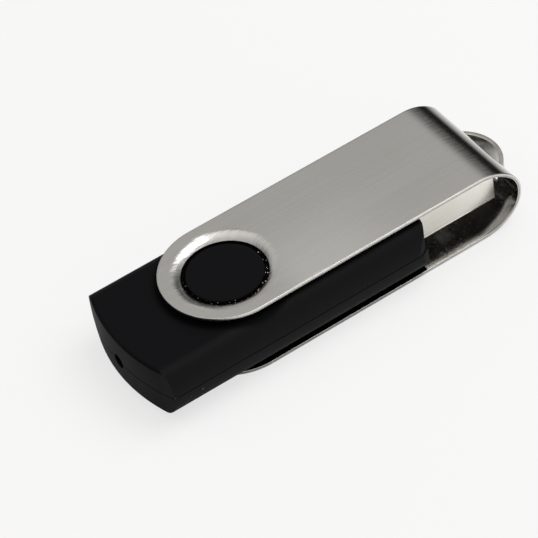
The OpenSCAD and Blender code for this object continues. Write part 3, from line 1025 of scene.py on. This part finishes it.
    def build_loop(self) -> bpy.types.Object:
        """Makes the lanced strip as an arch: a rectangle carried round an arc in plan.

        The arc ends where its middle line meets the middle of the sheet at the nose.

        Returns:
            The loop as one object.
        """
        middle = self.loop_radius - self.loop_sheet / 2
        reach = math.acos((self.bend.nose - self.sheet / 2 - self.loop_centre) / middle)
        turn = np.linspace(-reach, reach, self.loop_steps + 1)[:, None]
        radius = middle + np.array([[1.0, 1.0, -1.0, -1.0]]) * self.loop_sheet / 2
        height = np.array([[-1.0, 1.0, 1.0, -1.0]]) * self.loop_height / 2 - self.loop_drop
        points = np.stack([
            self.loop_centre + radius * np.cos(turn),
            radius * np.sin(turn),
            np.repeat(height, len(turn), 0),
        ], -1).reshape(-1, 3) + np.array(PIVOT)
        sides = grid_quads(len(turn), height.size, closed=True)
        first = np.arange(height.size)
        caps = np.array([first, len(points) - 1 - first])
        made = mesh_object("clip_loop", points, np.concatenate([sides, caps]), self.lanced)
        outward(made)
        rounded(made, self.loop_rounding)
        return made

    def build(self) -> None:
        """Makes the clip's pieces and lets them stand for the CAD clip."""
        for piece in (self.build_sheet(), self.build_loop()):
            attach(piece, "clip")
            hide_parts("swivel_clip")
            log.info("made %s", piece.name)


@dataclass
class CarriedNodes:
    """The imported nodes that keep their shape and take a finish."""

    materials: dict[Slot, bpy.types.Material]

    def dress(self) -> None:
        """Gives each node its slot's material."""
        for part in frame["record"]["subparts"]:
            node = frame["nodes"][part["node"]]
            material = self.materials[Slot(part["material_slot"])]
            if not node.material_slots:
                node.data.materials.append(material)
            for slot in node.material_slots:
                slot.material = material
            log.info("dressed %s with %s", part["node"], material.name)


# Studio ---------------------------------------------------------------------


@dataclass(frozen=True)
class Viewpoint:
    """The photograph's camera: angles in degrees, its target seen from the swivel axis at half height."""

    azimuth: float = 26.2737
    elevation: float = 45.0825
    roll: float = -10.4698
    distance: float = 347.2017 * MM
    target: Triple = (6.5451 * MM, 0.9082 * MM, 0.0)
    focal_pixels: float = 2748.96
    frame_pixels: float = 538.0
    sensor: float = 36.0
    nearest: float = 0.01
    farthest: float = 20.0

    def build(self) -> None:
        """Places the camera, looking down at the target and turned about its own axis by the roll."""
        turn, drop, roll = (math.radians(v) for v in (self.azimuth, self.elevation, self.roll))
        ahead = Vector((math.sin(turn) * math.cos(drop), math.cos(turn) * math.cos(drop), -math.sin(drop)))
        side = ahead.cross(Vector((0, 0, 1))).normalized()
        top = side.cross(ahead)
        right = side * math.cos(roll) + top * math.sin(roll)
        up = top * math.cos(roll) - side * math.sin(roll)
        place = PIVOT + Vector(self.target) - ahead * self.distance
        lens = bpy.data.cameras.new("photo_camera")
        lens.sensor_width = self.sensor
        lens.lens = self.focal_pixels / self.frame_pixels * self.sensor
        lens.clip_start = self.nearest
        lens.clip_end = self.farthest
        made = bpy.data.objects.new("photo_camera", lens)
        made.matrix_world = Matrix((
            (right.x, up.x, -ahead.x, place.x),
            (right.y, up.y, -ahead.y, place.y),
            (right.z, up.z, -ahead.z, place.z),
            (0.0, 0.0, 0.0, 1.0),
        ))
        bpy.context.scene.collection.objects.link(made)
        bpy.context.scene.camera = made


@dataclass(frozen=True)
class Studio:
    """A pale table under one broad overhead light, in a room that only reflections and light see.

    The room's tones are brightnesses, and its fades are read on the axes of a direction of
    length 1. A dark card with a grey edge stands ahead of the bend, low down, and the span
    is read on the cosine of the turn away from its way. The least level keeps straight up
    from dividing by zero.
    """

    floor_size: float = 3.0
    floor_tone: Colour = rgb(0.945, 0.945, 0.945)
    floor_glow: Colour = rgb(0.91, 0.91, 0.91)
    floor_far: Colour = rgb(0.0, 0.0, 0.0)
    shadow_share: float = 0.24
    pool_radius: float = 38.0 * MM
    pool_fall: float = 1.3
    light_size: float = 0.42
    light_power: float = 1.75
    light_place: Triple = (0.24, -0.09, 0.50)
    room_tint: Colour = rgb(1.0, 0.985, 0.96)
    middle: float = 0.55
    zenith: float = 0.95
    zenith_up: Fade = (0.75, 0.98)
    rear_lift: float = 0.18
    rear_lift_along: Fade = (0.25, -0.5)
    rear_dim: float = 0.9
    rear_dim_along: Fade = (-0.2, -0.7)
    rear_dim_up: Fade = (0.7, 0.2)
    front_lift: float = 0.15
    front_lift_across: Fade = (-0.2, -0.6)
    front_lift_up: Fade = (0.55, 0.35)
    card_way: float = math.radians(33.0)
    card_span: Fade = (0.82, 0.92)
    card_tone: float = 0.06
    card_up: Fade = (0.40, 0.20)
    edge_tone: float = 0.42
    edge_up: Fade = (0.60, 0.48)
    least_level: float = 0.001

    def build_floor(self) -> None:
        """Lays the table.

        The camera sees it partly lit and partly glowing, which keeps its shadow pale.
        Reflections and scattered light see a painted pool of light on it, which darkens
        by a power of the distance.
        """
        half = self.floor_size / 2
        points = half * np.array([[-1.0, -1.0, 0.0], [1.0, -1.0, 0.0], [1.0, 1.0, 0.0], [-1.0, 1.0, 0.0]])
        material = bpy.data.materials.new("table_pale")
        material.use_nodes = True
        shader = Shader(material.node_tree)
        x, y, _ = shader.axes(shader.point())
        # painted pool of light: the floor darkens away from the drive in reflections and scattered light
        pool = ((self.pool_radius / x.hypot(y)) ** self.pool_fall).at_most(1.0)
        camera = shader.camera_ray()
        tone = shader.blend(camera.at_least(pool), self.floor_far, self.floor_tone)
        lit = shader.node("ShaderNodeBsdfDiffuse", inputs={"Color": tone})
        plain = shader.node("ShaderNodeEmission", inputs={"Color": self.floor_glow, "Strength": 1.0})
        surface = shader.mixed(camera * (1.0 - self.shadow_share), lit, plain)
        shader.node("ShaderNodeOutputMaterial", inputs={"Surface": surface})
        floor = mesh_object("table", points, np.array([[0, 1, 2, 3]]), material)

    def build_light(self) -> None:
        """Hangs the overhead light, facing the drive."""
        lamp = bpy.data.lights.new("overhead", "AREA")
        lamp.shape = "SQUARE"
        lamp.size = self.light_size
        lamp.energy = self.light_power
        made = bpy.data.objects.new("overhead", lamp)
        made.location = self.light_place
        made.rotation_euler = (-Vector(self.light_place)).to_track_quat("-Z", "Y").to_euler()
        bpy.context.scene.collection.objects.link(made)

    def glow(self, shader: Shader) -> Term:
        """Brightness of the room by direction.

        It is even at the sides, brighter overhead, high at the rear and low in front, and
        dim low at the rear. The card and its edge then dim what lies within a span of
        their way.

        Args:
            shader: the room's tree.

        Returns:
            The brightness.
        """
        way = Term(shader, shader.node("ShaderNodeTexCoord").outputs["Generated"])
        x, y, up = shader.axes(way)
        facing = x * math.cos(self.card_way) + y * math.sin(self.card_way)
        ahead = (facing / (x.hypot(y) + self.least_level)).ramp(self.card_span)
        edge = (1.0 - self.edge_tone) * ahead * up.ramp(self.edge_up)
        card = (1.0 - self.card_tone) * ahead * up.ramp(self.card_up)
        rear = self.rear_dim * x.ramp(self.rear_dim_along) * up.ramp(self.rear_dim_up)
        front = self.front_lift * y.ramp(self.front_lift_across) * up.ramp(self.front_lift_up)
        room = (self.middle + self.rear_lift * x.ramp(self.rear_lift_along)
                + (self.zenith - self.middle) * up.ramp(self.zenith_up) + front)
        return room * (1.0 - rear) * (1.0 - edge) * (1.0 - card)

    def build_world(self) -> None:
        """Fills the room: its glow for reflections and light, and a plain pale tone for the camera."""
        world = bpy.data.worlds.new("room")
        bpy.context.scene.world = world
        world.use_nodes = True
        shader = Shader(world.node_tree)
        glow = self.glow(shader)
        room = shader.node("ShaderNodeBackground", inputs={"Color": self.room_tint, "Strength": glow})
        pale = shader.node("ShaderNodeBackground", inputs={"Color": self.floor_tone, "Strength": 1.0})
        surface = shader.mixed(shader.camera_ray(), room, pale)
        shader.node("ShaderNodeOutputWorld", inputs={"Surface": surface})

    def build(self) -> None:
        """Makes the floor, the light and the room."""
        self.build_floor()
        self.build_light()
        self.build_world()


def main() -> None:
    """Builds the scene: camera, studio, finishes, carried nodes and the clip's new pieces."""
    logging.basicConfig(level=logging.INFO, format="%(name)s: %(message)s")
    bpy.context.scene.view_settings.view_transform = "Standard"
    Viewpoint().build()
    Studio().build()
    materials = finishes()
    CarriedNodes(materials).dress()
    lanced = Grained("clip_steel_lanced", rgb(0.52, 0.51, 0.48), rgb(0.42, 0.41, 0.38),
                     rough=0.30, metal=1.0, scale=900.0)
    SwivelClip(materials[Slot.CLIP], InnerSteel().build(), StampedRim().build(), lanced.build()).build()


if __name__ == "__main__":
    main()
